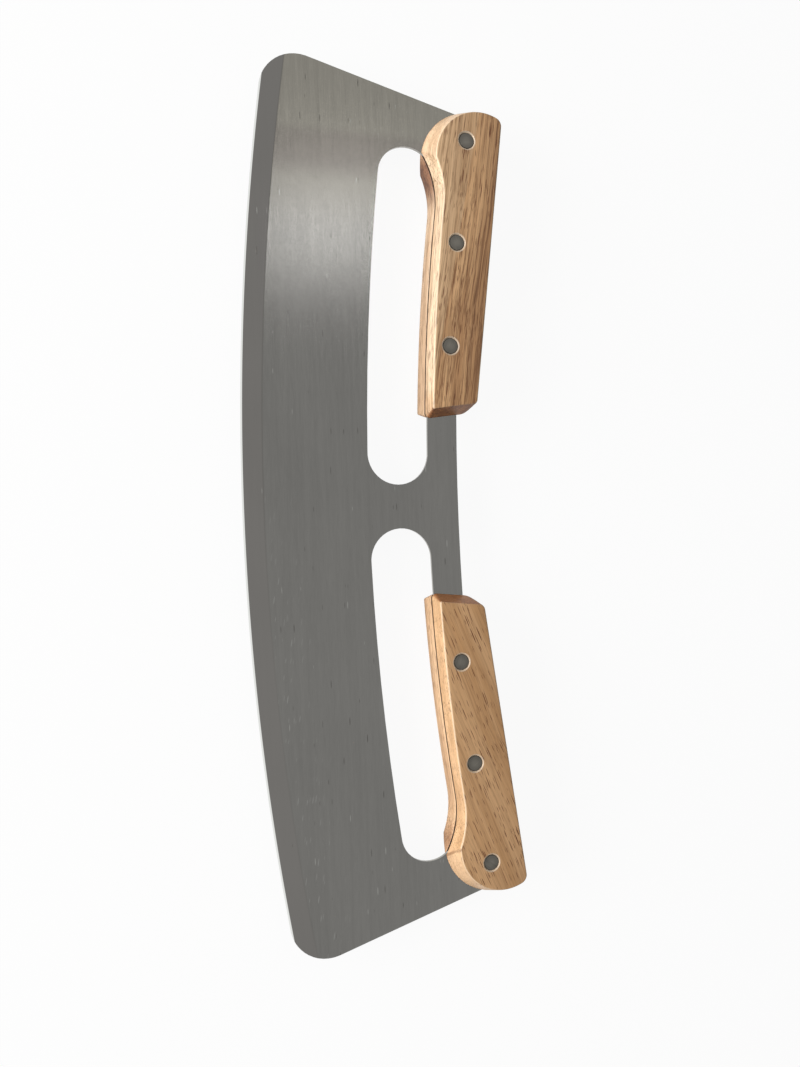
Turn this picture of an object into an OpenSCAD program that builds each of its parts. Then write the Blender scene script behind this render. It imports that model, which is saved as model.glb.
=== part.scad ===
// Rocker pizza cutter: one curved steel plate with two grips, each of two wooden scales
// held by three sleeve-and-pin rivets. X runs along the cutter, Y from the cutting edge
// up to the grips and Z through the thickness. The cutter lies on the rear faces of its
// grips, and the origin is under the middle of its outline.

/* [Blade] */
// Overall length, across the widest part of the lower corners
blade_len = 355; // [300:1:420]
// Overall height, from the lowest point of the cutting edge to the highest point of a grip
total_h = 110.6; // [104:0.1:124]
// Thickness of the plate
blade_t = 1.2; // [1:0.1:3]
// Radius of the arc that the cutting edge rocks on
edge_r = 1087; // [800:1:2000]
// Radius of the rounded lower corners
corner_r = 15.9; // [6:0.1:22]
// Lean of the straight ends, in degrees from upright
end_lean = 14.5; // [5:0.5:20]
// Width of the ground bevel along the cutting edge
bevel_w = 8.3; // [3:0.1:13]
// Width of the honed edge below the bevel
honed_w = 0.7; // [0.3:0.1:1.5]
// Thickness where the bevel meets the honed edge
honed_t = 0.4; // [0.2:0.05:0.8]
// Thickness left at the very edge
edge_t = 0.1; // [0.05:0.05:0.15]

/* [Finger slots] */
// Depth of the slots' lower edge below the top of the grips, at the middle of the blade
slot_low = 60.2; // [54:0.1:70]
// Height of a slot, up to the strip that joins the two grips
slot_h = 25.6; // [20:0.1:30]
// Width of the web between the two slots
web_w = 17.8; // [8:0.1:28]
// Radius of a slot's outer end
slot_end_r = 12.25; // [9:0.05:13]
// Distance from a slot's outer end to the widest part of the blade
slot_margin = 31.8; // [28:0.1:36]
// Depth of the top of the strip between the grips below their top, at the middle of the blade
strip_top = 21.8; // [18:0.1:28]
// Radius of the curved top of that strip
strip_top_r = 1100; // [800:10:2000]

/* [Grips] */
// Thickness of a grip over both scales
grip_t = 20; // [16:0.1:26]
// Distance between the two grips, along their undersides
grip_gap = 71.7; // [60:0.1:100]
// Lean of a grip's top edge, in degrees
grip_lean = 7.5; // [5:0.1:9]
// Depth of the grips' underside curve below their top, where it crosses the middle of the blade
under_low = 35.6; // [34:0.1:40]
// Radius of the underside curve
under_r = 880; // [750:5:1100]
// Radius of the finger hollow
hollow_r = 36; // [28:0.5:50]
// Distance from the middle of the hollow to the widest part of the blade
hollow_margin = 52.5; // [48:0.1:58]
// Radius of a grip's round outer end, where it meets the plate
end_r = 22.8; // [20:0.1:25]
// Distance from the widest part of the blade to the middle of that round
end_margin = 38.1; // [35:0.1:42]
// Height of the top edge over the middle of that round
end_rise = 7.8; // [5:0.1:10]
// Lean of a grip's flat inner end, in degrees from upright
inner_lean = 7; // [0:0.5:12]
// Slope of that end from the plate to the grip's face, in degrees
inner_bevel = 17; // [5:0.5:22]
// Slope of a grip's round outer end, in degrees
outer_bevel = 21; // [5:0.5:22]
// Radius of a grip's upper inner corner
heel_r = 6; // [2:0.1:8]
// Radius of a grip's lower inner corner
toe_r = 2; // [1.4:0.1:3]
// Radius of a grip's upper outer corner
tip_r = 3.5; // [1.5:0.1:4.5]
// Width of the broken edges round a grip's face
edge_break = 0.9; // [0.3:0.1:1.6]
// How far the plate stays back inside the seam between two scales
seam = 1; // [0.4:0.1:1.3]

/* [Rivets] */
// Diameter of a rivet's head
head_d = 6.5; // [5.5:0.1:8]
// Thickness of a rivet's head, let in flush with the wood
head_t = 1.3; // [0.8:0.1:2]
// Diameter of the sleeve under the head
sleeve_d = 4.2; // [3.8:0.1:4.6]
// Diameter of the pin inside the sleeve
pin_d = 2; // [1.4:0.1:2.4]
// Clearance round the heads, the sleeve and the pin
clear = 0.3; // [0.15:0.05:0.4]
// Distance from a grip's inner end to its inner rivet
rivet_in = 28.6; // [20:0.1:34]
// Distance from a grip's outer end to its outer rivet
rivet_out = 16.5; // [12:0.1:22]
// Depth of the inner rivet below the top edge
inner_drop = 13.9; // [11:0.1:15]
// Depth of the middle rivet below the top edge
middle_drop = 15.1; // [11:0.1:16]
// Depth of the outer rivet below the top edge
outer_drop = 14.8; // [11:0.1:16]

/* [Hidden] */
$fn = 128;
SIDES = ["left", "right"];
FACES = ["front", "rear"];
SPOTS = ["inner", "middle", "outer"];

steel = [0.45, 0.45, 0.43];
wood = [0.78, 0.60, 0.42];
rivet_steel = [0.40, 0.41, 0.40];

half_len = blade_len / 2;
// Reach of cutting shapes past the grips and the plate, and past the faces that they cut
far = 200;
over = 1;
// How much larger a round is drawn than the one that touches its two sides, so that it crosses them
lap = 0.02;

// Centres of the arcs in the plate, seen from the front
edge_c = [0, edge_r];
slot_low_r = edge_r - total_h + slot_low;
slot_top_r = slot_low_r - slot_h;
slot_in_r = slot_h / 2;
corner_c = in_arc(half_len - corner_r, edge_c, edge_r - corner_r);
slot_in_c = in_arc(web_w / 2 + slot_in_r, edge_c, slot_low_r - slot_in_r);
slot_out_c = in_arc(half_len - slot_margin - slot_end_r, edge_c, slot_low_r - slot_end_r);
strip_top_c = [0, total_h - strip_top + strip_top_r];

// Centres of the arcs in the right grip
tip_u = sqrt(pow(end_r - tip_r, 2) - pow(end_rise - tip_r, 2));
end_c = [half_len - end_margin,
         total_h - tip_r - tip_u * sin(grip_lean) - (end_rise - tip_r) * cos(grip_lean)];
under_c = [0, total_h - under_low + under_r];
hollow_c = in_arc(half_len - hollow_margin, under_c, under_r + hollow_r);
// Where the underside curve runs into the hollow
join_dir = unit(heading(under_c, hollow_c));
join = under_c + under_r * join_dir;

// The grip's own frame starts at end_c: u along its top edge and v up across it
along = unit(grip_lean);
across = unit(grip_lean + 90);
floor_v = (hollow_c - end_c) * across;
tip = [tip_u, end_rise - tip_r];
tip_c = grip_point(tip);

// The inner end starts at inner_p on the underside: inward points from it into the grip
inner_p = in_arc(grip_gap / 2, under_c, under_r);
inner_u = (inner_p - end_c) * along;
inward = unit(-inner_lean);
upward = unit(90 - inner_lean);
heel_start = grip_point([0, end_rise - heel_r]);
heel_c = heel_start + along * (heel_r - (heel_start - inner_p) * inward) / (along * inward);
toe_start = inner_p + toe_r * inward;
toe_c = toe_start - upward * reach(toe_start, -upward, under_c, under_r - toe_r);

// One scale, from the plate to its face
scale_t = (grip_t - blade_t) / 2;
inner_slope = tan(inner_bevel);
outer_slope = tan(outer_bevel);
face_end_r = end_r - scale_t * outer_slope;
face_tip_u = sqrt(pow(face_end_r - tip_r, 2) - pow(end_rise - tip_r, 2));
tip_shift = (tip_u - face_tip_u) / scale_t;

hole_d = sleeve_d + 2 * clear;
recess_d = head_d + 2 * clear;
first_u = inner_u + rivet_in;
last_u = end_r - rivet_out;
rivets = [
    grip_point([first_u, end_rise - inner_drop]),
    grip_point([(first_u + last_u) / 2, end_rise - middle_drop]),
    grip_point([last_u, end_rise - outer_drop])
];

function scale_name(side, face) = str(side, "_", face, "_scale");
function rivet_name(side, spot, part) = str(side, "_", spot, "_rivet_", part);
function unit(a) = [cos(a), sin(a)];
// Direction in degrees from point p to point q
function heading(p, q) = atan2(q.y - p.y, q.x - p.x);
// The point at x on the lower side of the circle with centre c and radius r
function in_arc(x, c, r) = [x, c.y - sqrt(r * r - pow(x - c.x, 2))];
// Distance from point p along direction d to the far side of the circle with centre c and radius r
function reach(p, d, c, r) = let (w = p - c, b = w * d) sqrt(b * b - w * w + r * r) - b;
function grip_point(p) = end_c + p.x * along + p.y * across;

module in_grip() {
    translate(end_c) rotate(grip_lean) children();
}

module in_inner_end() {
    translate(inner_p) rotate(-inner_lean) children();
}

// The wedge that opens from centre c between two headings, past a round of radius r
module fan(c, r, from, to) {
    translate(c) polygon([[0, 0], for (a = [from, (from + to) / 2, to]) 3 * (r + seam) * unit(a)]);
}

// Rounds a corner of what is drawn, between the headings in which the round meets its sides
module rounded(c, r, from, to) {
    difference() {
        children();
        difference() {
            fan(c, r, from, to);
            translate(c) circle(r = r + lap);
        }
    }
}

// Everything on one side of the line where the underside curve meets the hollow
module beyond_join(dir) {
    polygon([join - far * join_dir, join + far * join_dir,
             join + far * join_dir + [dir * far, 0], join - far * join_dir + [dir * far, 0]]);
}

// Outline of the right grip where it meets the plate, drawn in by the inset. Its upper corners are
// sharp, and its two ends stand out by the extra length
module grip_outline(inset, extra) {
    difference() {
        rounded(toe_c, toe_r - inset, 180 - inner_lean, 360 + heading(under_c, toe_c)) intersection() {
            in_grip() translate([-far, floor_v]) square([2 * far, end_rise - inset - floor_v]);
            in_inner_end() translate([inset - extra, -far]) square([far, 2 * far]);
            union() {
                translate(under_c) circle(r = under_r - inset);
                beyond_join(1);
            }
            union() {
                translate(end_c) circle(r = end_r - inset + extra);
                translate(end_c - [far + end_r / 4, far]) square([far, 2 * far]);
            }
        }
        translate(hollow_c) circle(r = hollow_r + inset + lap);
    }
}

// The part of the plate that lies between the scales of the right grip
module tang_outline() {
    intersection() {
        rounded(tip_c, tip_r - seam, heading(end_c, tip_c), 90 + grip_lean)
            rounded(heel_c, heel_r - seam, 90 + grip_lean, 180 - inner_lean) grip_outline(seam, 0);
        end_limit();
    }
}

// Everything inside the straight right end of the plate
module end_limit() {
    translate(corner_c) rotate(end_lean) translate([corner_r - 2 * blade_len, -far])
        square([2 * blade_len, 2 * far]);
}

module slot_outline() {
    slot_in_a = asin(slot_in_c.x / (slot_low_r - slot_in_r));
    slot_out_a = asin(slot_out_c.x / (slot_low_r - slot_end_r));
    intersection() {
        difference() {
            translate(edge_c) circle(r = slot_low_r);
            translate(edge_c) circle(r = slot_top_r);
        }
        translate(edge_c)
            polygon([[0, 0], for (a = [slot_in_a, slot_out_a]) 2 * edge_r * unit(a - 90)]);
    }
    translate(slot_in_c) circle(r = slot_in_r + lap);
    translate(slot_out_c) circle(r = slot_end_r + lap);
}

// Clears the plate under the right grip and a little way in, where the tang then fills it again
module under_grip() {
    start_x = grip_gap / 2 + 2 * seam;
    difference() {
        translate([start_x, slot_out_c.y - slot_end_r / 2]) square([slot_out_c.x - start_x, slot_h]);
        translate(under_c) circle(r = under_r - 3 * seam);
    }
}

module plate_outline() {
    difference() {
        plate_blank();
        translate(strip_top_c) circle(r = strip_top_r);
        for (side = [0, 1]) mirror([side, 0]) {
            slot_outline();
            under_grip();
        }
    }
    for (side = [0, 1]) mirror([side, 0]) tang_outline();
}

// The edge arc between the two straight ends, with its corners rounded
module plate_blank() {
    intersection() {
        rounded(corner_c, corner_r, heading(edge_c, corner_c), end_lean) intersection() {
            translate(edge_c) circle(r = edge_r);
            end_limit();
        }
        mirror([1, 0]) rounded(corner_c, corner_r, heading(edge_c, corner_c), end_lean) end_limit();
    }
}

// The grind all round the edge arc: above the bevel and the honed edge it stands clear of the
// plate's faces, and it runs on past the arc until a quarter of edge_t is left
module grind() {
    bevel_slope = (blade_t - honed_t) / (bevel_w - honed_w) / 2;
    honed_slope = (honed_t - edge_t) / honed_w / 2;
    upper = [
        [0, blade_t],
        [edge_r - bevel_w - blade_t / 2 / bevel_slope, blade_t],
        [edge_r - honed_w, honed_t / 2],
        [edge_r + edge_t / 4 / honed_slope, edge_t / 4]
    ];
    lower = [for (i = [len(upper) - 1:-1:0]) [upper[i].x, -upper[i].y]];
    translate(edge_c) rotate_extrude($fn = 720) polygon(concat(upper, lower));
}

module blade() {
    color(steel) difference() {
        intersection() {
            translate([0, 0, -blade_t / 2]) linear_extrude(blade_t) plate_outline($fn = 720);
            grind();
        }
        for (side = [0, 1], p = rivets) mirror([side, 0, 0])
            translate([p.x, p.y, -blade_t]) cylinder(d = hole_d, h = 2 * blade_t);
    }
}

// The bevelled round of the outer end, with its broken edge, and all of the grip beside it
module outer_end() {
    break_r = end_r - (scale_t - edge_break) * outer_slope;
    translate(end_c) rotate_extrude($fn = 360)
        polygon([[0, -over], [end_r + over * outer_slope, -over], [break_r, scale_t - edge_break],
                 [break_r - edge_break - over, scale_t + over], [0, scale_t + over]]);
    translate([end_c.x - end_r / 4 - far, end_c.y - far, -over]) cube([far, 2 * far, scale_t + 2 * over]);
}

// Everything beyond the plane that passes u at the plate and leans over it by shift
module leaning_block(u, shift, length) {
    rotate([90, 0, 0]) translate([0, 0, -far]) linear_extrude(2 * far)
        polygon([[u - over * shift, -over], [u - over * shift + length, -over],
                 [u + (scale_t + over) * shift + length, scale_t + over],
                 [u + (scale_t + over) * shift, scale_t + over]]);
}

// Leaves only a leaning round at the upper outer corner
module outer_corner() {
    in_grip() leaning_block(tip.x - far, -tip_shift, far);
    in_grip() translate([-far, tip.y - far, -over]) cube([2 * far, far, scale_t + 2 * over]);
    in_grip() translate([tip.x, tip.y, 0]) rotate([0, -atan(tip_shift), 0])
        translate([0, 0, -2 * over]) cylinder(r = tip_r + lap, h = scale_t + 4 * over);
}

// Cross-section of the wood that is taken off an outside edge at distance r
module edge_cut(r) {
    polygon([[r - edge_break - over, scale_t + over], [r + over, scale_t - edge_break - over],
             [r + over, scale_t + over]]);
}

// What the round of the upper inner corner leaves over, with its broken edge
module heel_corner() {
    post_r = heel_r + lap;
    difference() {
        translate([0, 0, -over]) linear_extrude(scale_t + 2 * over)
            fan(heel_c, heel_r, 90 + grip_lean, 180 - inner_lean);
        translate(heel_c) rotate_extrude()
            polygon([[0, -2 * over], [post_r, -2 * over], [post_r, scale_t - edge_break],
                     [post_r - edge_break - 2 * over, scale_t + 2 * over], [0, scale_t + 2 * over]]);
    }
}

// The broken edges along the face's straight top and round its underside and hollow
module broken_edges() {
    intersection() {
        translate(under_c) rotate_extrude($fn = 720) edge_cut(under_r);
        linear_extrude(scale_t + over) beyond_join(-1);
    }
    translate([hollow_c.x, hollow_c.y, scale_t - edge_break - over])
        cylinder(r1 = hollow_r + lap - over, r2 = hollow_r + lap + edge_break + over,
                 h = edge_break + 2 * over);
    in_grip() translate([inner_u - over, 0, 0]) rotate([90, 0, 90]) linear_extrude(far)
        edge_cut(end_rise);
}

// The right front scale, with its inner face on z = 0
module grip_scale() {
    color(wood) difference() {
        intersection() {
            linear_extrude(scale_t) grip_outline(0, over, $fn = 360);
            outer_end();
            outer_corner();
            in_inner_end() leaning_block(0, inner_slope, far);
        }
        heel_corner();
        broken_edges();
        for (p = rivets) translate([p.x, p.y, 0]) {
            translate([0, 0, -over]) cylinder(d = hole_d, h = scale_t + 2 * over);
            translate([0, 0, scale_t - head_t]) cylinder(d = recess_d, h = head_t + over);
        }
    }
}

// A rivet's sleeve: its head is in the front face, and its tube ends short of the pin's head
module sleeve() {
    shank_l = grip_t - 2 * head_t - clear;
    color(rivet_steel) difference() {
        translate([0, 0, grip_t / 2 - head_t]) union() {
            cylinder(d = head_d, h = head_t);
            translate([0, 0, -shank_l]) cylinder(d = sleeve_d, h = shank_l + over / 2);
        }
        translate([0, 0, -grip_t]) cylinder(d = pin_d + 2 * clear, h = 1.5 * grip_t - 2 * head_t);
    }
}

// A rivet's pin: its head is in the rear face, and its shaft runs up inside the sleeve
module pin() {
    color(rivet_steel) translate([0, 0, -grip_t / 2]) union() {
        cylinder(d = head_d, h = head_t);
        cylinder(d = pin_d, h = grip_t - 2 * head_t - 2 * clear);
    }
}

// Moves what is drawn round the middle of the plate into the part's own frame
module place() {
    translate([0, -total_h / 2, grip_t / 2]) children();
}

place() blade();

for (side = [0, 1], face = [0, 1])
    place() mirror([1 - side, 0, 0]) mirror([0, 0, face]) translate([0, 0, blade_t / 2]) grip_scale();

for (side = [0, 1], spot = [0:2]) {
    at = rivets[spot];
    place() mirror([1 - side, 0, 0]) translate([at.x, at.y, 0]) sleeve();
    place() mirror([1 - side, 0, 0]) translate([at.x, at.y, 0]) pin();
}
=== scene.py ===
import math

import bmesh
import bpy
import numpy as np
from mathutils import Matrix, Vector


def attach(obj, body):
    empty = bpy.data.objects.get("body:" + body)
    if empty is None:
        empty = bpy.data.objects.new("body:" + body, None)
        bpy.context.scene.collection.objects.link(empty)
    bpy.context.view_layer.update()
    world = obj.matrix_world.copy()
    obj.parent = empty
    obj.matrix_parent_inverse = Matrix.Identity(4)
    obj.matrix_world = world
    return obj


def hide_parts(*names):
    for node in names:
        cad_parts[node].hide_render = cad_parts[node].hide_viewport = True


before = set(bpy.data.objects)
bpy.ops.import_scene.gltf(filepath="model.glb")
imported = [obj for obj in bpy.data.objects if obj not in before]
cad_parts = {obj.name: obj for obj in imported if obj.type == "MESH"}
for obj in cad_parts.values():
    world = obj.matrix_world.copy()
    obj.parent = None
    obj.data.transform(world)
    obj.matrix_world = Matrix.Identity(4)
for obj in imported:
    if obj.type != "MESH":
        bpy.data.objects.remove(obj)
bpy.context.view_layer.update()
print("stage: frame loaded,", len(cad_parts), "nodes")

# Sizes are in millimetres, with Y measured up from the lowest point of the cutting edge
mm = 0.001
perMetre = (1000.0, 1000.0, 1000.0)  # turns a piece's coordinates into millimetres
halfHeight = 55.3  # half the way from the cutting edge to the top of the grips
plateZ = 10.0  # height of the plate's middle over the floor


# A point of the right half in the frame's metres, or of the left half for side -1
def inFrame(side, x, y, z):
    return side * x * mm, (y - halfHeight) * mm, z * mm


# Shader helpers
def feed(tree, socket, value):
    if isinstance(value, bpy.types.NodeSocket):
        tree.links.new(value, socket)
    else:
        socket.default_value = value


def addNode(tree, kind, props=None, **inputs):
    node = tree.nodes.new(kind)
    for key, value in (props or {}).items():
        setattr(node, key, value)
    for key, value in inputs.items():
        numbered = key[0] == "i" and key[1:].isdigit()  # i0, i1 and i2 name a socket by its number
        feed(tree, node.inputs[int(key[1:]) if numbered else key.replace("_", " ")], value)
    return node


def calc(tree, operation, a, b=0.0, c=0.0, clamp=False):
    node = addNode(tree, "ShaderNodeMath", {"operation": operation, "use_clamp": clamp}, i0=a, i1=b, i2=c)
    return node.outputs[0]


def spread(tree, value, low, high):
    node = addNode(tree, "ShaderNodeMapRange", {"interpolation_type": "SMOOTHSTEP"}, Value=value,
                   From_Min=low, From_Max=high)
    return node.outputs["Result"]


def stretch(tree, vector, factors):
    node = addNode(tree, "ShaderNodeVectorMath", {"operation": "MULTIPLY"}, i0=vector, i1=factors)
    return node.outputs[0]


# One number from two vectors, such as their distance
def measure(tree, operation, a, b=(0.0, 0.0, 0.0)):
    return addNode(tree, "ShaderNodeVectorMath", {"operation": operation}, i0=a, i1=b).outputs["Value"]


def splitVector(tree, vector):
    return addNode(tree, "ShaderNodeSeparateXYZ", i0=vector).outputs


def noise(tree, vector, factors, detail, roughness=0.5):
    return addNode(tree, "ShaderNodeTexNoise", Vector=stretch(tree, vector, factors), Scale=1.0,
                   Detail=detail, Roughness=roughness).outputs


def attribute(tree, name, output="Fac"):
    return addNode(tree, "ShaderNodeAttribute", {"attribute_name": name}).outputs[output]


def blendColor(tree, mask, a, b, mode="MIX"):
    node = addNode(tree, "ShaderNodeMix", {"data_type": "RGBA", "blend_type": mode})
    for socket, value in ((node.inputs[0], mask), (node.inputs[6], a), (node.inputs[7], b)):
        feed(tree, socket, value)
    return node.outputs[2]


def tint(tree, color, factors):
    return blendColor(tree, 1.0, color, factors, "MULTIPLY")


def brighten(tree, color, gain):
    return addNode(tree, "ShaderNodeVectorMath", {"operation": "SCALE"}, i0=color, Scale=gain).outputs[0]


def addBump(tree, shader, height, strength, distance):
    bump = addNode(tree, "ShaderNodeBump", Strength=strength, Distance=distance, Height=height)
    tree.links.new(bump.outputs[0], shader.inputs["Normal"])


def startGroup(name, inputs, outputs):
    tree = bpy.data.node_groups.new(name, "ShaderNodeTree")
    for label, kind, value in inputs:
        socket = tree.interface.new_socket(label, in_out="INPUT", socket_type=kind)
        if value is not None:
            socket.default_value = value
    for label, kind in outputs:
        tree.interface.new_socket(label, in_out="OUTPUT", socket_type=kind)
    return tree, tree.nodes.new("NodeGroupInput").outputs, tree.nodes.new("NodeGroupOutput").inputs


def useGroup(tree, group, **inputs):
    node = tree.nodes.new("ShaderNodeGroup")
    node.node_tree = group
    for key, value in inputs.items():
        feed(tree, node.inputs[key.replace("_", " ")], value)
    return node.outputs


def startMaterial(name):
    material = bpy.data.materials.new(name)
    material.use_nodes = True
    tree = material.node_tree
    tree.nodes.clear()
    shader = addNode(tree, "ShaderNodeBsdfPrincipled")
    addNode(tree, "ShaderNodeOutputMaterial", Surface=shader.outputs[0])
    return material, tree, shader


# Object coordinates in millimetres, turned about Z and shifted
def place(tree, turn=0.0, shift=(0.0, 0.0, 0.0)):
    coords = addNode(tree, "ShaderNodeTexCoord").outputs["Object"]
    return addNode(tree, "ShaderNodeMapping", Vector=coords, Location=shift, Rotation=(0.0, 0.0, turn),
                   Scale=perMetre).outputs[0]


# A colour from its levels on screen, 0 to 255
def tone(red, green, blue):
    def linear(level):
        level /= 255.0
        return level / 12.92 if level <= 0.04045 else ((level + 0.055) / 1.055) ** 2.4
    return (linear(red), linear(green), linear(blue), 1.0)


# Soft dots in a share of a pattern's cells, and the cells' own random numbers
def makeDots(tree, vector, factors, share, size, dimensions="3D"):
    cell = addNode(tree, "ShaderNodeTexVoronoi", {"voronoi_dimensions": dimensions}, Scale=1.0,
                   Vector=stretch(tree, vector, factors))
    pick = addNode(tree, "ShaderNodeSeparateColor", i0=cell.outputs["Color"]).outputs
    reach = calc(tree, "MULTIPLY_ADD", pick[1], 0.14, size - 0.07)
    dot = spread(tree, calc(tree, "SUBTRACT", cell.outputs["Distance"], reach), 0.04, -0.08)
    return calc(tree, "MULTIPLY", dot, calc(tree, "LESS_THAN", pick[0], share)), pick


# Wood grain, with its length along X. Three factors are a mark's repeats per millimetre on each axis,
# and the pores also have a size and a least depth
woodMarks = {"sway": (0.02, 0.05, 0.05), "swayBy": (0.0, 4.0, 4.0), "bands": (0.006, 0.2, 0.2),
             "bandEdge": (0.36, 0.64), "streaks": (0.014, 1.15, 1.15), "fibres": (0.05, 3.4, 3.4),
             "deepEdge": (0.53, 0.4), "deepTint": (0.5, 0.4, 0.32, 1.0),
             "longPores": ((0.085, 1.6, 1.6), 0.26, 0.65), "shortPores": ((0.17, 2.2, 2.2), 0.28, 0.5)}


def makeWoodGrain():
    tree, given, out = startGroup("woodGrain", [
        ("Vector", "NodeSocketVector", None), ("Light", "NodeSocketColor", tone(206, 170, 128)),
        ("Dark", "NodeSocketColor", tone(160, 122, 86)), ("Pore", "NodeSocketColor", tone(104, 60, 32)),
        ("Pores", "NodeSocketFloat", 0.4), ("Streaks", "NodeSocketFloat", 0.3)],
        [("Color", "NodeSocketColor"), ("Height", "NodeSocketFloat"), ("Pore Mask", "NodeSocketFloat")])
    w, at = woodMarks, given["Vector"]
    sway = noise(tree, at, w["sway"], 1.0)["Color"]
    bent = addNode(tree, "ShaderNodeVectorMath", {"operation": "MULTIPLY_ADD"}, i0=sway, i1=w["swayBy"],
                   i2=at).outputs[0]
    bands = noise(tree, bent, w["bands"], 2.0)["Fac"]
    streaks = noise(tree, bent, w["streaks"], 4.0, 0.7)["Fac"]
    fibres = noise(tree, bent, w["fibres"], 2.0)["Fac"]

    # Long and short pores, denser in the light bands
    share = calc(tree, "MULTIPLY", given["Pores"], calc(tree, "MULTIPLY", bands, 2.0))
    masks = []
    for factors, size, depth in (w["longPores"], w["shortPores"]):
        dots, pick = makeDots(tree, bent, factors, share, size)
        strength = calc(tree, "MULTIPLY_ADD", pick[2], 0.5, depth)
        masks.append(calc(tree, "MULTIPLY", dots, strength, clamp=True))
    pores = calc(tree, "MAXIMUM", *masks)

    body = blendColor(tree, spread(tree, bands, *w["bandEdge"]), given["Dark"], given["Light"])
    fine = calc(tree, "MULTIPLY_ADD", fibres, 0.45, calc(tree, "MULTIPLY", streaks, 0.55))
    deep = calc(tree, "MULTIPLY", spread(tree, fine, *w["deepEdge"]), given["Streaks"], clamp=True)
    body = blendColor(tree, deep, body, tint(tree, body, w["deepTint"]))
    gain = calc(tree, "MULTIPLY_ADD", calc(tree, "SUBTRACT", streaks, 0.5),
                calc(tree, "MULTIPLY", given["Streaks"], 1.6), 1.07)
    gain = calc(tree, "MULTIPLY", gain, calc(tree, "MULTIPLY_ADD", fibres, 0.3, 0.85))
    tree.links.new(blendColor(tree, pores, brighten(tree, body, gain), given["Pore"]), out["Color"])
    grooves = calc(tree, "MULTIPLY_ADD", fibres, 0.35, calc(tree, "MULTIPLY", streaks, 0.3))
    tree.links.new(calc(tree, "MULTIPLY_ADD", pores, -1.0, grooves), out["Height"])
    tree.links.new(pores, out["Pore Mask"])
    return tree


# Brushed steel, brushed along X, with dark flecks and pale nicks, in repeats per millimetre as above
steelMarks = {"fine": (0.16, 4.5, 1.0), "broad": (0.015, 0.55, 0.5), "cloud": (0.02, 0.03, 0.03),
              "flecks": (0.13, 1.0, 0.0), "fleckSize": 0.16, "nickFrom": 0.74}


def makeBrushing():
    tree, given, out = startGroup("brushing", [
        ("Vector", "NodeSocketVector", None), ("Base", "NodeSocketColor", tone(112, 112, 108)),
        ("Fleck", "NodeSocketColor", tone(70, 68, 64)), ("Nick", "NodeSocketColor", tone(140, 140, 136)),
        ("Flecks", "NodeSocketFloat", 0.05), ("Contrast", "NodeSocketFloat", 0.12)],
        [("Color", "NodeSocketColor"), ("Height", "NodeSocketFloat"), ("Line", "NodeSocketFloat"),
         ("Fleck Mask", "NodeSocketFloat")])
    s, at = steelMarks, given["Vector"]
    fine = noise(tree, at, s["fine"], 3.0, 0.65)["Fac"]
    broad = noise(tree, at, s["broad"], 2.0)["Fac"]
    cloud = noise(tree, at, s["cloud"], 2.0)["Fac"]
    line = calc(tree, "MULTIPLY_ADD", fine, 0.65, calc(tree, "MULTIPLY", broad, 0.35))
    dots, pick = makeDots(tree, at, s["flecks"], given["Flecks"], s["fleckSize"], "2D")
    fleck = calc(tree, "MULTIPLY", dots, calc(tree, "MULTIPLY_ADD", pick[2], 0.5, 0.35))
    shade = blendColor(tree, calc(tree, "GREATER_THAN", pick[2], s["nickFrom"]), given["Fleck"],
                       given["Nick"])
    gain = calc(tree, "MULTIPLY_ADD", calc(tree, "SUBTRACT", line, 0.5), given["Contrast"],
                calc(tree, "MULTIPLY_ADD", cloud, 0.16, 0.92))
    tree.links.new(blendColor(tree, fleck, brighten(tree, given["Base"], gain), shade), out["Color"])
    tree.links.new(calc(tree, "MULTIPLY_ADD", fleck, -0.4, line), out["Height"])
    tree.links.new(line, out["Line"])
    tree.links.new(fleck, out["Fleck Mask"])
    return tree


woodGrain = makeWoodGrain()
brushing = makeBrushing()

# Blade: the ground bevel and the honed edge follow their distance from the edge arc's centre
blade = {"edgeRadius": 1087.0, "edgeCentreY": 1087.0 - halfHeight, "thick": 1.2, "bevel": 8.3, "honed": 0.7,
         "steel": tone(111, 110, 107), "bevelSteel": tone(112, 110, 107), "honedSteelAndGlint": tone(226, 227, 224),
         "wallShineSteel": tone(168, 166, 160), "scratch": tone(138, 138, 135), "browSteel": tone(84, 82, 78),
         "paintedGlowTint": (1.34, 1.3, 1.2, 1.0), "greyTint": (0.86, 0.84, 0.86, 1.0),
         "usedHalf": (-40.0, 60.0),  # X over which flecks and scratches grow denser
         "paintedGlowEnd": (-105.0, -150.0), "greyBand": ((-152.0, -146.0), (-128.0, -138.0)),
         "contrast": 0.45, "bevelContrast": 0.1, "bevelFlecks": 0.01, "scratchFlecks": 0.3,
         "scratchReach": (30.0, 12.0), "scratchTurn": 0.16, "scratchDepth": 0.8, "browReach": (0.45, 0.05),
         "flecks": (0.015, 0.04), "browDepth": (-0.2, 0.35), "roughness": (0.2, 0.08),  # factor, then addend
         "bump": (0.4, 0.00008)}  # strength, then depth in metres


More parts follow.
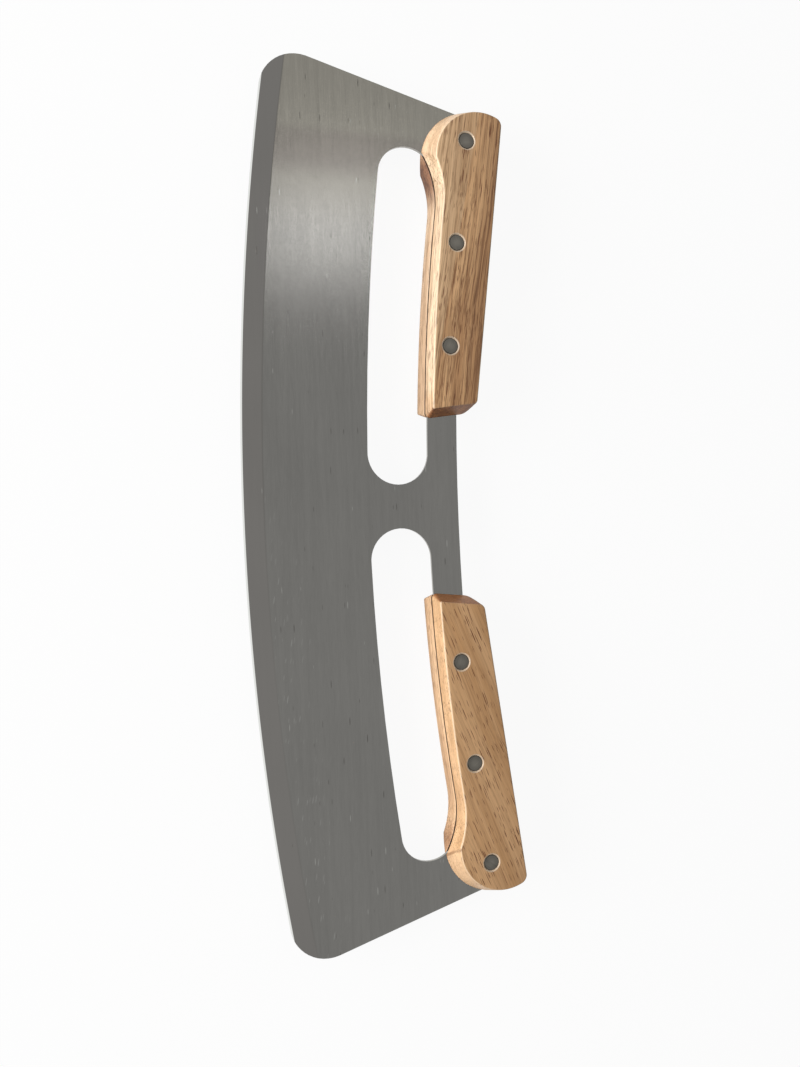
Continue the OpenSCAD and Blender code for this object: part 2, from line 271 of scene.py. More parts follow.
def makeBladeSteel():
    material, tree, shader = startMaterial("bladeSteel")
    at = place(tree)
    parts = splitVector(tree, at)
    away = measure(tree, "DISTANCE", stretch(tree, at, (1.0, 1.0, 0.0)), (0.0, blade["edgeCentreY"], 0.0))
    inward = calc(tree, "SUBTRACT", blade["edgeRadius"], away)
    bevelMask = spread(tree, inward, blade["bevel"] + 0.15, blade["bevel"] - 0.15)
    honedMask = spread(tree, inward, blade["honed"] + 0.1, blade["honed"] - 0.1)
    used = spread(tree, parts[0], *blade["usedHalf"])

    # Painted glow: the steel is tinted lighter towards the top end of the plate, beyond X = -105 mm
    steel = blendColor(tree, spread(tree, parts[0], *blade["paintedGlowEnd"]), blade["steel"],
                       tint(tree, blade["steel"], blade["paintedGlowTint"]))
    rise, fall = (spread(tree, parts[0], *ends) for ends in blade["greyBand"])
    steel = blendColor(tree, calc(tree, "MULTIPLY", rise, fall), steel,
                       tint(tree, steel, blade["greyTint"]))
    plate = useGroup(tree, brushing, Vector=at, Base=steel, Contrast=blade["contrast"],
                     Flecks=calc(tree, "MULTIPLY_ADD", used, *blade["flecks"]))

    # Slanting scratches beside the bevel
    slanted = addNode(tree, "ShaderNodeMapping", Vector=at, Rotation=(0.0, 0.0, blade["scratchTurn"]),
                      Location=(37.0, 5.3, 0.0)).outputs[0]
    scored = useGroup(tree, brushing, Vector=slanted, Flecks=blade["scratchFlecks"])["Fleck Mask"]
    near = calc(tree, "MULTIPLY", spread(tree, inward, *blade["scratchReach"]), used)
    scratched = calc(tree, "MULTIPLY", calc(tree, "MULTIPLY", scored, near), blade["scratchDepth"])
    color = blendColor(tree, scratched, plate["Color"], blade["scratch"])

    # Bevel, the dark line over it, a painted shine on the cut walls, and the honed edge
    ground = useGroup(tree, brushing, Vector=at, Base=blade["bevelSteel"], Flecks=blade["bevelFlecks"],
                      Contrast=blade["bevelContrast"])
    color = blendColor(tree, bevelMask, color, ground["Color"])
    fromBrow = calc(tree, "ABSOLUTE", calc(tree, "SUBTRACT", inward, blade["bevel"]))
    brow = calc(tree, "MULTIPLY", spread(tree, fromBrow, *blade["browReach"]),
                calc(tree, "MULTIPLY_ADD", used, *blade["browDepth"]))
    color = blendColor(tree, brow, color, blade["browSteel"])
    fromMiddle = calc(tree, "ABSOLUTE", calc(tree, "SUBTRACT", parts[2], plateZ))
    faceZ = blade["thick"] / 2
    # Painted shine: the upright cut walls of the plate are given pale steel
    wallShine = calc(tree, "MULTIPLY", spread(tree, fromMiddle, faceZ - 0.01, faceZ - 0.06),
                calc(tree, "SUBTRACT", 1.0, bevelMask))
    color = blendColor(tree, wallShine, color, blade["wallShineSteel"])
    # Honed edge: paler as freshly honed steel, and lifted near white as a painted glint
    color = blendColor(tree, honedMask, color, blade["honedSteelAndGlint"])
    tree.links.new(color, shader.inputs["Base Color"])

    rough = calc(tree, "MULTIPLY_ADD", plate["Line"], *blade["roughness"])
    tree.links.new(calc(tree, "MULTIPLY_ADD", bevelMask, -0.1, rough), shader.inputs["Roughness"])
    shader.inputs["Metallic"].default_value = 1.0
    height = calc(tree, "MULTIPLY", plate["Height"], calc(tree, "MULTIPLY_ADD", bevelMask, -0.6, 1.0))
    addBump(tree, shader, height, *blade["bump"])
    return material


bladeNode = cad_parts["blade"]
bladeNode.data.materials.clear()
bladeNode.data.materials.append(makeBladeSteel())
print("stage: blade")

# Grip scales: outlines at rising heights over the plate, joined into one closed skin.
# Side 1 is the right grip and -1 the left one, whose inner corner is fuller
grip = {"lean": 7.5, "endX": 139.4, "endRadius": 22.8, "endRise": 7.8, "totalHeight": 2 * halfHeight,
        "tipRadius": 3.5, "tipSoftening": 0.6, "toeRadius": 2.0, "toeTaper": 0.7,
        "heelRadius": {1: (6.4, 3.0), -1: (4.4, 2.0)}, "heelPower": 0.6,
        "underRadius": 880.0, "underDepth": 35.6, "hollowRadius": 36.0, "hollowX": 125.0,
        "innerX": {1: 35.85, -1: 35.5}, "innerLean": 7.0, "innerSlope": 17.0, "outerSlope": 21.0,
        "thick": 9.4, "plate": 0.6,  # a scale's thickness, and half the plate's
        "softEdge": 0.9, "crispEdge": 0.35, "seamEdge": 0.12, "sharpAngle": 34.0,
        "spacing": 0.5, "levels": (1.2, 2.8, 4.4, 6.0, 7.3), "edgeTurns": (14, 28, 42, 55, 67, 78, 90),
        "rivets": ((146.6, 94.31), (105.23, 88.57), (63.65, 84.25)),
        "sinkRadius": (3.27, 3.85), "sinkDepth": 0.55, "sinkMiddle": 0.12, "sinkSegments": 64}


# Ring of wood round each rivet, where the sink's cut wall gets a painted highlight
def makeRivetRing():
    tree, given, out = startGroup("rivetRingHighlight", [("Vector", "NodeSocketVector", None)],
                                  [("Ring", "NodeSocketFloat")])
    parts = splitVector(tree, given["Vector"])
    at = addNode(tree, "ShaderNodeCombineXYZ", X=calc(tree, "ABSOLUTE", parts[0]), Y=parts[1]).outputs[0]
    away = None
    for x, y in grip["rivets"]:
        reach = measure(tree, "DISTANCE", at, (x, y - halfHeight, 0.0))
        away = reach if away is None else calc(tree, "MINIMUM", away, reach)
    radius = grip["sinkRadius"][1]
    tree.links.new(spread(tree, away, radius + 0.05, radius - 0.05), out["Ring"])
    return tree


rivetRingHighlight = makeRivetRing()

# What the four scales' wood has in common, with how strongly each mark shows
finish = {"endTint": (0.62, 0.42, 0.27, 1.0), "wornAndHighlight": tone(248, 230, 200), "paintedRim": tone(240, 232, 214),
          "cuspShadow": tone(120, 76, 44), "seam": tone(46, 28, 18),
          "roundDepth": 0.75, "wornHighlightDepth": 0.5, "paintedRimDepth": 0.4, "seamShadeDepth": 0.9,
          "roughness": (0.2, 0.5), "specular": 0.45, "bump": (0.4, 0.00012), "dotStretch": (5.0, 0.8, 0.8),
          "dots": dict(Light=tone(226, 184, 144), Dark=tone(208, 166, 126), Pore=tone(150, 92, 56),
                       Pores=0.75, Streaks=0.2)}


def makeGripWood(name, turn, shift, pores, streaks, light, dark, flankSheenTint, cuspShadowDepth, split=None):
    material, tree, shader = startMaterial(name)
    at = place(tree, turn, shift)
    grain = useGroup(tree, woodGrain, Vector=at, Light=light, Dark=dark, Pores=pores, Streaks=streaks)
    color = grain["Color"]
    if split:
        other = useGroup(tree, woodGrain, Vector=at, Light=split["light"], Dark=split["dark"],
                         Pores=split["pores"], Streaks=split["streaks"])
        aside = measure(tree, "DOT_PRODUCT", place(tree), split["normal"])
        side = spread(tree, aside, split["limit"] - split["soft"], split["limit"] + split["soft"])
        color = blendColor(tree, side, color, other["Color"])
    color = blendColor(tree, attribute(tree, "endGrain"), color, tint(tree, color, finish["endTint"]))
    # Painted sheen: the walls and flanks are paler and less saturated, as where the key lamp catches them
    color = blendColor(tree, attribute(tree, "flankSheen"), color, tint(tree, color, flankSheenTint))
    dotted = useGroup(tree, woodGrain, Vector=stretch(tree, at, finish["dotStretch"]), **finish["dots"])
    ring = useGroup(tree, rivetRingHighlight, Vector=place(tree))["Ring"]
    for mask, depth, shade in (
            (attribute(tree, "roundEnd"), finish["roundDepth"], dotted["Color"]),
            # Worn edges, paler from wear and from a painted highlight, strongest on the underside edge
            # facing the key lamp
            (attribute(tree, "wornAndHighlight"), finish["wornHighlightDepth"], finish["wornAndHighlight"]),
            # Painted highlight on the sink walls round the rivets
            (ring, finish["paintedRimDepth"], finish["paintedRim"]),
            # Painted shadow in the gap at the cusp by the finger slot
            (attribute(tree, "cuspShadow"), cuspShadowDepth, finish["cuspShadow"]),
            # Painted shade on the plate-side face, where it shows in the gap along the seam
            (attribute(tree, "seam"), finish["seamShadeDepth"], finish["seam"])):
        color = blendColor(tree, calc(tree, "MULTIPLY", mask, depth), color, shade)
    tree.links.new(color, shader.inputs["Base Color"])
    rough = calc(tree, "MULTIPLY_ADD", grain["Pore Mask"], *finish["roughness"])
    tree.links.new(rough, shader.inputs["Roughness"])
    shader.inputs["Specular IOR Level"].default_value = finish["specular"]
    addBump(tree, shader, grain["Height"], *finish["bump"])
    return material


# Outlines in plan, with directions in degrees
def unit(degrees):
    return np.array((math.cos(math.radians(degrees)), math.sin(math.radians(degrees))))


def heading(a, b):
    return math.degrees(math.atan2(b[1] - a[1], b[0] - a[0]))


def arcPoints(centre, radius, start, end, count):
    return [np.array(centre) + radius * unit(a) for a in np.linspace(start, end, count, endpoint=False)]


def linePoints(a, b, count):
    return [a + (b - a) * t for t in np.linspace(0.0, 1.0, count, endpoint=False)]


def circlesMeet(c0, r0, c1, r1):
    c0, c1 = np.array(c0), np.array(c1)
    gap = np.linalg.norm(c1 - c0)
    along = (c1 - c0) / gap
    a = (r0 ** 2 - r1 ** 2 + gap ** 2) / (2 * gap)
    side = math.sqrt(r0 ** 2 - a ** 2)
    across = np.array((-along[1], along[0]))
    return c0 + along * a + across * side, c0 + along * a - across * side


# How far an edge rounded by radius stands back at a height over the plate
def inset(height, radius):
    rise = height - (grip["thick"] - radius)
    return 0.0 if rise <= 0 else radius - math.sqrt(max(radius ** 2 - rise ** 2, 0.0))


# A scale's outline at a height over the plate, its points per stretch, and the cusp by the finger slot
def gripOutline(height, side=1, counts=None):
    g = grip
    share = height / g["thick"]
    seam = g["seamEdge"] - min(height, g["seamEdge"])
    soft = inset(height, g["softEdge"]) + seam
    crisp = inset(height, g["crispEdge"]) + seam
    along, across = unit(g["lean"]), unit(g["lean"] + 90)

    # Round outer end and its upper corner
    tipU = math.sqrt((g["endRadius"] - g["tipRadius"]) ** 2 - (g["endRise"] - g["tipRadius"]) ** 2)
    endC = np.array((g["endX"], g["totalHeight"] - g["tipRadius"] - tipU * along[1]
                     - (g["endRise"] - g["tipRadius"]) * across[1]))
    roundR = g["endRadius"] - height * math.tan(math.radians(g["outerSlope"])) - crisp
    tipR = g["tipRadius"] - soft * g["tipSoftening"]
    tipV = g["endRise"] - soft - tipR
    tipC = endC + along * math.sqrt((roundR - tipR) ** 2 - tipV ** 2) + across * tipV

    # Underside and finger hollow
    underC = np.array((0.0, g["totalHeight"] - g["underDepth"] + g["underRadius"]))
    underR = g["underRadius"] - soft
    hollowC = np.array((g["hollowX"], underC[1] - math.sqrt((g["underRadius"] + g["hollowRadius"]) ** 2
                                                            - g["hollowX"] ** 2)))
    join = heading(underC, hollowC)
    cusp = min(circlesMeet(endC, roundR, hollowC, g["hollowRadius"] + soft), key=lambda p: p[1])

    # Sloping inner end between its heel above and its toe below
    inward, upward = unit(-g["innerLean"]), unit(90 - g["innerLean"])
    innerX = g["innerX"][side]
    innerP = np.array((innerX, underC[1] - math.sqrt(g["underRadius"] ** 2 - innerX ** 2)))
    foot = innerP + inward * (height * math.tan(math.radians(g["innerSlope"])) + crisp)
    heelLow, heelHigh = g["heelRadius"][side]
    heelRise = heelLow + (heelHigh - heelLow) * share ** g["heelPower"]
    heelR = heelRise - soft
    start = endC + across * (g["endRise"] - heelRise)
    heelC = start + along * (heelR - (start - foot) @ inward) / (along @ inward)
    heelStart = heelC - inward * heelR
    toeR = g["toeRadius"] * (1 - g["toeTaper"] * share)
    toeStart = foot + inward * toeR
    w = toeStart - underC
    b = w @ -upward
    toeC = toeStart - upward * (math.sqrt(b * b - w @ w + (underR - toeR) ** 2) - b)

    parts = [
        ("line", toeC - inward * toeR, heelStart),
        ("arc", heelC, heelR, heading(heelC, heelStart), 90 + g["lean"]),
        ("line", heelC + across * heelR, tipC + across * tipR),
        ("arc", tipC, tipR, 90 + g["lean"], heading(endC, tipC)),
        ("arc", endC, roundR, heading(endC, tipC), heading(endC, cusp)),
        ("arc", hollowC, g["hollowRadius"] + soft, heading(hollowC, cusp), join + 180),
        ("arc", underC, underR, join, heading(underC, toeC)),
        ("arc", toeC, toeR, heading(underC, toeC) + 360, 180 - g["innerLean"])]
    if counts is None:
        lengths = [np.linalg.norm(p[2] - p[1]) if p[0] == "line" else abs(math.radians(p[4] - p[3])) * p[2]
                   for p in parts]
        counts = [max(8, int(round(n / g["spacing"]))) for n in lengths]
    points = []
    for (kind, *shape), count in zip(parts, counts):
        points += linePoints(*shape, count) if kind == "line" else arcPoints(*shape, count)
    return np.array(points), counts, cusp


# Heights over the plate, closer together round the edge of the face
def gripLevels():
    edge = grip["thick"] - grip["softEdge"]
    return [0.0, grip["seamEdge"], *grip["levels"], edge] + \
        [edge + grip["softEdge"] * math.sin(math.radians(a)) for a in grip["edgeTurns"]]


def ramp(value, start, end):
    return min(max((value - start) / (end - start), 0.0), 1.0)


# Replaces a piece's mesh by the result of its modifiers
def bake(piece):
    bpy.context.view_layer.update()
    shaped = piece.evaluated_get(bpy.context.evaluated_depsgraph_get())
    mesh = bpy.data.meshes.new_from_object(shaped)
    piece.modifiers.clear()
    old = piece.data
    piece.data = mesh
    bpy.data.meshes.remove(old)


def addObject(name, data):
    piece = bpy.data.objects.new(name, data)
    bpy.context.scene.collection.objects.link(piece)
    return piece


# Shallow cones that are cut out of a face round its rivets
def makeSinks(side, face):
    bm = bmesh.new()
    top = plateZ + face * (grip["plate"] + grip["thick"])
    low, high = grip["sinkRadius"][::face]
    for x, y in grip["rivets"]:
        middle = inFrame(side, x, y, top - face * grip["sinkMiddle"])
        bmesh.ops.create_cone(bm, cap_ends=True, segments=grip["sinkSegments"], radius1=low * mm,
                              radius2=high * mm, depth=grip["sinkDepth"] * mm,
                              matrix=Matrix.Translation(middle))
    mesh = bpy.data.meshes.new("sinks")
    bm.to_mesh(mesh)
    bm.free()
    return addObject("sinks", mesh)


def makeScale(name, side, face, material):
    mesh = bpy.data.meshes.new(name)
    bm = bmesh.new()
    counts = gripOutline(0.0, side)[1]
    rings = []
    for height in gripLevels():
        z = plateZ + face * (grip["plate"] + height)
        rings.append([bm.verts.new(inFrame(side, x, y, z)) for x, y in gripOutline(height, side, counts)[0]])
    size = len(rings[0])
    for lower, upper in zip(rings, rings[1:]):
        for i in range(size):
            j = (i + 1) % size
            bm.faces.new((lower[i], lower[j], upper[j], upper[i])).smooth = True
    bm.faces.new(rings[0])
    bm.faces.new(rings[-1])
    bmesh.ops.recalc_face_normals(bm, faces=bm.faces)
    bm.to_mesh(mesh)
    bm.free()
    piece = addObject(name, mesh)
    cutter = makeSinks(side, face)
    cut = piece.modifiers.new("sinks", "BOOLEAN")
    cut.operation = "DIFFERENCE"
    cut.solver = "EXACT"
    cut.object = cutter
    bake(piece)
    bpy.data.objects.remove(cutter)
    mesh = piece.data
    mesh.set_sharp_from_angle(angle=math.radians(grip["sharpAngle"]))
    mesh.materials.clear()
    mesh.materials.append(material)
    markGrain(mesh, side, face)
    return piece


# Where the wood changes: pairs are the ends of a ramp, on X, or on how squarely a face looks out
grainMarks = {"innerEndX": 60.0, "endFacing": (0.35, 0.7), "roundEndX": (140.0, 145.0),
              "roundEndFlat": (0.55, 0.25), "flankSheenFlat": (0.85, 0.35), "seamShadeHeight": 0.05,
              "cuspShadowReach": 0.6, "rivetReach": 4.2, "wornHighlightFlat": ((0.25, 0.65), (0.99, 0.85)),
              "wornHighlightLeast": 0.3, "wornHighlightUnder": (0.0, 0.5)}


# Marks the sawn inner end, the round outer end, the flanks that get a painted sheen, the worn edges that
# also get a painted highlight, and the cusp and seam that get painted shade, for the wood's material
def markGrain(mesh, side, face):
    m = grainMarks
    low, high = (gripOutline(height)[2] for height in (0.0, grip["thick"]))
    inward = unit(-grip["innerLean"])
    marks = {"endGrain": [], "roundEnd": [], "seam": [], "flankSheen": [], "cuspShadow": [], "wornAndHighlight": []}
    for vertex in mesh.vertices:
        x, y = vertex.co.x / mm * side, vertex.co.y / mm + halfHeight
        height = abs(vertex.co.z / mm - plateZ) - grip["plate"]
        facing = -(vertex.normal.x * side * inward[0] + vertex.normal.y * inward[1])
        flat = vertex.normal.z * face
        cusp = low + (high - low) * height / grip["thick"]
        endCut = ramp(facing, *m["endFacing"]) if x < m["innerEndX"] else 0.0
        marks["endGrain"].append(endCut)
        marks["roundEnd"].append(ramp(x, *m["roundEndX"]) * ramp(flat, *m["roundEndFlat"]))
        # Painted shade on the faces against the plate, seen in the seam's gap
        marks["seam"].append(1.0 if height < m["seamShadeHeight"] else 0.0)
        # Painted sheen on the walls, strongest where a face stands upright
        marks["flankSheen"].append(ramp(flat, *m["flankSheenFlat"]) * (1.0 - endCut))
        # Painted shadow round the cusp where the hollow meets the round end
        marks["cuspShadow"].append(1.0 if math.hypot(x - cusp[0], y - cusp[1]) < m["cuspShadowReach"] else 0.0)
        # Worn edge band round the face, part wear and part painted highlight, kept off the rivet sinks and
        # strongest on the underside
        sunk = min(math.hypot(x - a, y - b) for a, b in grip["rivets"]) < m["rivetReach"]
        rounded = 0.0 if sunk else ramp(flat, *m["wornHighlightFlat"][0]) * ramp(flat, *m["wornHighlightFlat"][1])
        under = ramp(-vertex.normal.y, *m["wornHighlightUnder"])
        marks["wornAndHighlight"].append(rounded * (m["wornHighlightLeast"] + (1.0 - m["wornHighlightLeast"]) * under))
    for name, values in marks.items():
        mesh.attributes.new(name, "FLOAT", "POINT").data.foreach_set("value", values)


# The wood of each scale; split is a second tone beyond a plane, with its soft change in millimetres
woods = {
    ("left", "front"): dict(
        turn=math.radians(9.0), shift=(30.0, 4.0, 11.0), pores=0.3, streaks=0.7,
        light=tone(210, 174, 134), dark=tone(188, 150, 110),
        flankSheenTint=(1.2, 1.36, 1.6, 1.0), cuspShadowDepth=0.1,
        split=dict(normal=(0.208, 0.978, 0.0), limit=11.0, soft=0.4, light=tone(202, 160, 116),
                   dark=tone(170, 128, 88), pores=0.28, streaks=1.0)),
    ("left", "rear"): dict(
        turn=math.radians(7.5), shift=(-300.0, 47.0, 81.0), pores=0.26, streaks=0.6,
        light=tone(212, 178, 138), dark=tone(184, 146, 106),
        flankSheenTint=(1.15, 1.25, 1.45, 1.0), cuspShadowDepth=0.2,
        split=dict(normal=(-1.0, 0.0, 0.0), limit=126.0, soft=8.0, light=tone(132, 88, 56),
                   dark=tone(98, 60, 36), pores=0.3, streaks=0.8)),
    ("right", "front"): dict(
        turn=math.radians(-20.0), shift=(410.0, -31.0, 57.0), pores=0.4, streaks=0.28,
        light=tone(204, 161, 116), dark=tone(184, 140, 95),
        flankSheenTint=(1.14, 1.2, 1.26, 1.0), cuspShadowDepth=0.55),
    ("right", "rear"): dict(
        turn=math.radians(-9.0), shift=(77.0, 91.0, 23.0), pores=0.3, streaks=0.5,
        light=tone(214, 174, 128), dark=tone(190, 148, 104),
        flankSheenTint=(1.1, 1.16, 1.3, 1.0), cuspShadowDepth=0.4,
        split=dict(normal=(1.0, 0.0, 0.0), limit=134.0, soft=6.0, light=tone(188, 144, 102),
                   dark=tone(160, 116, 78), pores=0.3, streaks=0.6)),
}

for (sideName, faceName), look in woods.items():
    material = makeGripWood(f"gripWood_{sideName}_{faceName}", **look)
    scale = makeScale(f"{sideName}_{faceName}_grip", 1 if sideName == "right" else -1,
                      1 if faceName == "front" else -1, material)
    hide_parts(f"{sideName}_{faceName}_scale")
    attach(scale, "root")
print("stage: grip scales")

# Rivet heads, one for each point and face, each turned at random
rivet = {"radius": 3.24, "height": 1.2, "chamfer": 0.22, "sunk": 0.2, "seed": 7, "segments": 64,
         "steel": tone(89, 86, 80), "middleTint": (1.3, 1.3, 1.3, 1.0), "rimShadeSteel": tone(44, 44, 42),
         "flecks": 0.1, "contrast": 1.1, "fullTurn": 6.283, "shift": 90.0, "middleReach": (0.15, 0.8),
         "rimShadeReach": (0.84, 0.97), "paintedRimDepth": 0.75, "roughness": (0.25, 0.3), "dome": -4.0,
         "bump": (0.5, 0.00006)}


def makeRivetSteel():
    material, tree, shader = startMaterial("rivetSteel")
    turn = attribute(tree, "turn")
    spot = attribute(tree, "spot", "Vector")

    # Each head takes its own stretch of the brushing
    at = addNode(tree, "ShaderNodeVectorRotate", {"rotation_type": "Z_AXIS"}, Vector=spot,
                 Angle=calc(tree, "MULTIPLY", turn, rivet["fullTurn"])).outputs[0]
    at = addNode(tree, "ShaderNodeMapping", Vector=at, Scale=perMetre).outputs[0]
    along = calc(tree, "MULTIPLY", turn, rivet["shift"])
    shift = addNode(tree, "ShaderNodeCombineXYZ", X=along).outputs[0]
    at = addNode(tree, "ShaderNodeVectorMath", i0=at, i1=shift).outputs[0]
    face = useGroup(tree, brushing, Vector=at, Base=rivet["steel"], Flecks=rivet["flecks"],
                    Contrast=rivet["contrast"])

    # Paler in the middle, and darkened at the rim as painted shade, by the share of the radius
    perRadius = 1.0 / rivet["radius"] / mm
    out = measure(tree, "LENGTH", stretch(tree, spot, (perRadius, perRadius, 0.0)))
    color = blendColor(tree, spread(tree, out, *rivet["middleReach"]),
                       tint(tree, face["Color"], rivet["middleTint"]), face["Color"])
    paintedRim = calc(tree, "MULTIPLY", spread(tree, out, *rivet["rimShadeReach"]), rivet["paintedRimDepth"])
    tree.links.new(blendColor(tree, paintedRim, color, rivet["rimShadeSteel"]), shader.inputs["Base Color"])
    rough = calc(tree, "MULTIPLY_ADD", face["Line"], *rivet["roughness"])
    tree.links.new(rough, shader.inputs["Roughness"])
    shader.inputs["Metallic"].default_value = 1.0
    dome = calc(tree, "MULTIPLY_ADD", calc(tree, "POWER", out, 2.0), rivet["dome"], face["Height"])
    addBump(tree, shader, dome, *rivet["bump"])
    return material


def makeRivetTree():
    tree = bpy.data.node_groups.new("rivetHeads", "GeometryNodeTree")
    face = tree.interface
    face.new_socket("Geometry", in_out="INPUT", socket_type="NodeSocketGeometry")
    sockets = {}
    for label, kind in (("Head Radius", "NodeSocketFloat"), ("Head Height", "NodeSocketFloat"),
                        ("Chamfer", "NodeSocketFloat"), ("Seed", "NodeSocketInt"),
                        ("Material", "NodeSocketMaterial")):
        sockets[label] = face.new_socket(label, in_out="INPUT", socket_type=kind).identifier
    face.new_socket("Geometry", in_out="OUTPUT", socket_type="NodeSocketGeometry")
    given = tree.nodes.new("NodeGroupInput").outputs
    out = tree.nodes.new("NodeGroupOutput")
    radius, chamfer = given["Head Radius"], given["Chamfer"]

    # One head, with its top drawn in over the chamfer and set at height 0
    body = addNode(tree, "GeometryNodeMeshCylinder", Vertices=rivet["segments"], Radius=radius,
                   Depth=given["Head Height"])
    lip = addNode(tree, "GeometryNodeExtrudeMesh", {"mode": "FACES"}, Mesh=body.outputs["Mesh"],
                  Selection=body.outputs["Top"], Offset_Scale=chamfer)
    ratio = calc(tree, "DIVIDE", calc(tree, "SUBTRACT", radius, chamfer), radius)
    narrow = addNode(tree, "GeometryNodeScaleElements", {"domain": "FACE"}, Geometry=lip.outputs["Mesh"],
                     Selection=lip.outputs["Top"], Scale=ratio)
    where = addNode(tree, "GeometryNodeInputPosition").outputs[0]
    spotted = addNode(tree, "GeometryNodeStoreNamedAttribute",
                      {"data_type": "FLOAT_VECTOR", "domain": "POINT"},
                      Geometry=narrow.outputs[0], Name="spot", Value=where)
    low = calc(tree, "MULTIPLY_ADD", given["Head Height"], -0.5, calc(tree, "MULTIPLY", chamfer, -1.0))
    drop = addNode(tree, "GeometryNodeTransform", Geometry=spotted.outputs[0],
                   Translation=addNode(tree, "ShaderNodeCombineXYZ", Z=low).outputs[0])

    # A head on every point, facing out
    facing = addNode(tree, "GeometryNodeInputNamedAttribute", {"data_type": "FLOAT_VECTOR"}, Name="facing")
    aim = addNode(tree, "FunctionNodeAlignRotationToVector", {"axis": "Z"},
                  Vector=facing.outputs["Attribute"])
    spots = addNode(tree, "GeometryNodeInstanceOnPoints", Points=given["Geometry"], Instance=drop.outputs[0],
                    Rotation=aim.outputs[0])
    turn = addNode(tree, "FunctionNodeRandomValue", {"data_type": "FLOAT"}, Seed=given["Seed"])
    marked = addNode(tree, "GeometryNodeStoreNamedAttribute", {"data_type": "FLOAT", "domain": "INSTANCE"},
                     Geometry=spots.outputs[0], Name="turn", Value=turn.outputs[1])
    real = addNode(tree, "GeometryNodeRealizeInstances", Geometry=marked.outputs[0])
    paint = addNode(tree, "GeometryNodeSetMaterial", Geometry=real.outputs[0], Material=given["Material"])
    tree.links.new(paint.outputs[0], out.inputs[0])
    return tree, sockets


def makeRivets():
    tree, sockets = makeRivetTree()
    points, facings = [], []
    for side in (-1, 1):
        for face in (1, -1):
            z = plateZ + face * (grip["plate"] + grip["thick"] - rivet["sunk"])
            for x, y in grip["rivets"]:
                points.append(inFrame(side, x, y, z))
                facings.append((0.0, 0.0, float(face)))
    mesh = bpy.data.meshes.new("rivetHeads")
    mesh.from_pydata(points, [], [])
    mesh.attributes.new("facing", "FLOAT_VECTOR", "POINT").data.foreach_set("vector", np.ravel(facings))
    piece = addObject("rivet_heads", mesh)
    heads = piece.modifiers.new("heads", "NODES")
    heads.node_group = tree
    for label, value in (("Head Radius", rivet["radius"] * mm), ("Head Height", rivet["height"] * mm),
                         ("Chamfer", rivet["chamfer"] * mm), ("Seed", rivet["seed"]),
                         ("Material", makeRivetSteel())):
        heads[sockets[label]] = value
    bake(piece)
    return piece


rivets = makeRivets()
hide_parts(*[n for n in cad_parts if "_rivet_" in n])
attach(rivets, "root")
print("stage: rivets,", len(rivets.data.polygons), "faces")

# Floor, light and camera, in metres
studio = {"floor": tone(250, 250, 249), "floorHalf": 3, "floorRoughness": 0.9, "floorSpecular": 0.1,
          "glow": 0.93, "ambient": 0.26,
          "key": dict(position=(-0.15, -1.13, 0.42), aim=(0.0, 0.0, 0.0), size=1.2, sizeY=0.7, power=22.0),
          "band": dict(position=(-0.37, 0.175, 0.76), aim=(-0.115, 0.0, 0.01), size=0.05, sizeY=0.21,
                       power=0.21),
          "lens": 29.54, "cameraAt": (0.00593, -0.10326, 0.34733),
          "cameraRight": (0.0361, 0.9489, 0.3134), "cameraBack": (-0.0141, -0.3131, 0.9496)}


# 1 where the camera sees a surface, by itself or in steel
def seenMask(tree):
    path = addNode(tree, "ShaderNodeLightPath").outputs
    return calc(tree, "MAXIMUM", path["Is Camera Ray"],
                calc(tree, "MAXIMUM", path["Is Glossy Ray"], path["Is Transmission Ray"]))


# A matrix from three axes and a place
def stand(right, up, back, position):
    turn = Matrix((right, up, back)).transposed().to_4x4()
    turn.translation = Vector(position)
    return turn


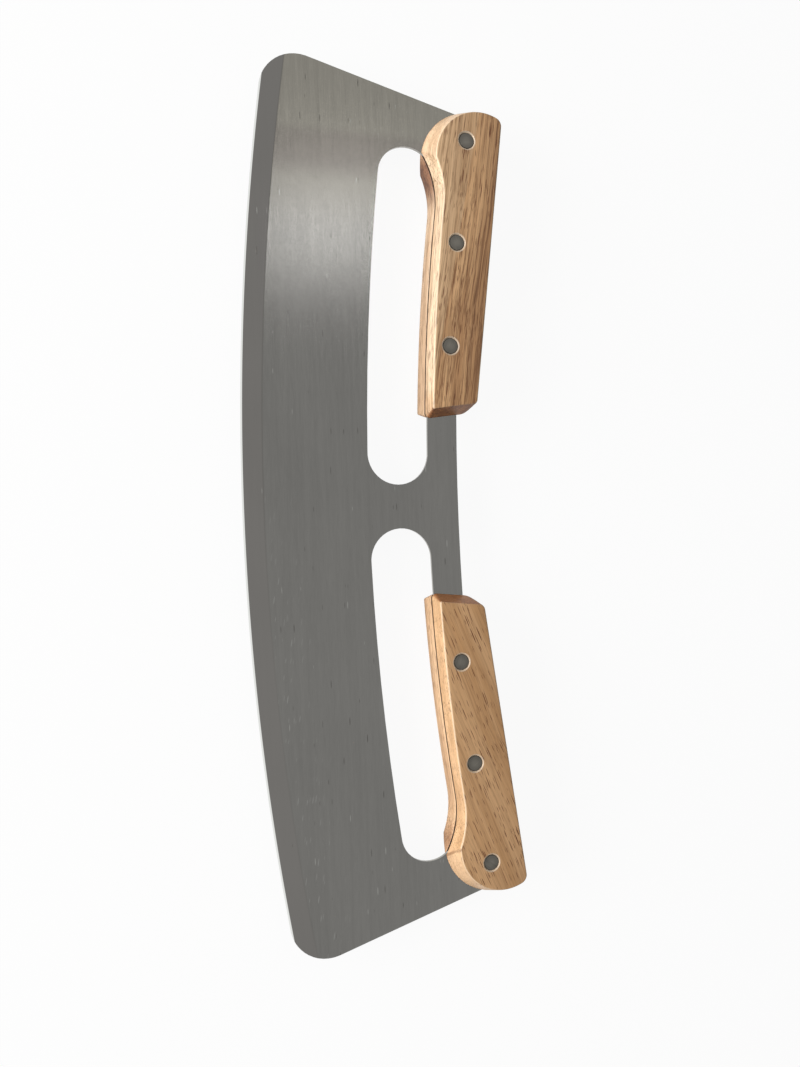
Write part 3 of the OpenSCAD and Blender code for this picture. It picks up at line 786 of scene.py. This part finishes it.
def makeFloor():
    half = studio["floorHalf"]
    mesh = bpy.data.meshes.new("floor")
    mesh.from_pydata([(-half, -half, 0), (half, -half, 0), (half, half, 0), (-half, half, 0)], [],
                     [(0, 1, 2, 3)])
    floor = addObject("floor", mesh)
    material, tree, shader = startMaterial("paleFloor")
    shader.inputs["Base Color"].default_value = studio["floor"]
    shader.inputs["Roughness"].default_value = studio["floorRoughness"]
    shader.inputs["Specular IOR Level"].default_value = studio["floorSpecular"]
    glow = addNode(tree, "ShaderNodeEmission", Color=(1.0, 1.0, 1.0, 1.0), Strength=1.0)
    mix = addNode(tree, "ShaderNodeMixShader", i0=calc(tree, "MULTIPLY", seenMask(tree), studio["glow"]),
                  i1=shader.outputs[0], i2=glow.outputs[0])
    tree.links.new(mix.outputs[0], tree.get_output_node("ALL").inputs["Surface"])
    mesh.materials.append(material)


def makeWorld():
    world = bpy.data.worlds.new("studioAir")
    bpy.context.scene.world = world
    world.use_nodes = True
    tree = world.node_tree
    tree.nodes.clear()
    strength = calc(tree, "MULTIPLY_ADD", seenMask(tree), 1.0 - studio["ambient"], studio["ambient"])
    air = addNode(tree, "ShaderNodeBackground", Color=(1.0, 1.0, 1.0, 1.0), Strength=strength)
    addNode(tree, "ShaderNodeOutputWorld", Surface=air.outputs[0])


# A flat lamp that faces its aim, with its second side as near to Y as it goes
def addLamp(name, position, aim, size, sizeY, power):
    data = bpy.data.lights.new(name, "AREA")
    data.shape = "RECTANGLE"
    data.size = size
    data.size_y = sizeY
    data.energy = power
    back = (Vector(position) - Vector(aim)).normalized()
    up = (Vector((0.0, 1.0, 0.0)) - back * back.y).normalized()
    addObject(name, data).matrix_world = stand(up.cross(back), up, back, position)


def makeCamera():
    data = bpy.data.cameras.new("camera")
    data.sensor_width = 36.0
    data.lens = studio["lens"]
    data.clip_start = 0.01
    camera = addObject("camera", data)
    right = Vector(studio["cameraRight"]).normalized()
    back = Vector(studio["cameraBack"])
    back = (back - right * back.dot(right)).normalized()
    camera.matrix_world = stand(right, back.cross(right), back, studio["cameraAt"])
    bpy.context.scene.camera = camera


makeFloor()
makeWorld()
for lampName in ("key", "band"):
    addLamp(lampName, **studio[lampName])
makeCamera()
bpy.context.scene.view_settings.view_transform = "Standard"
print("stage: studio")
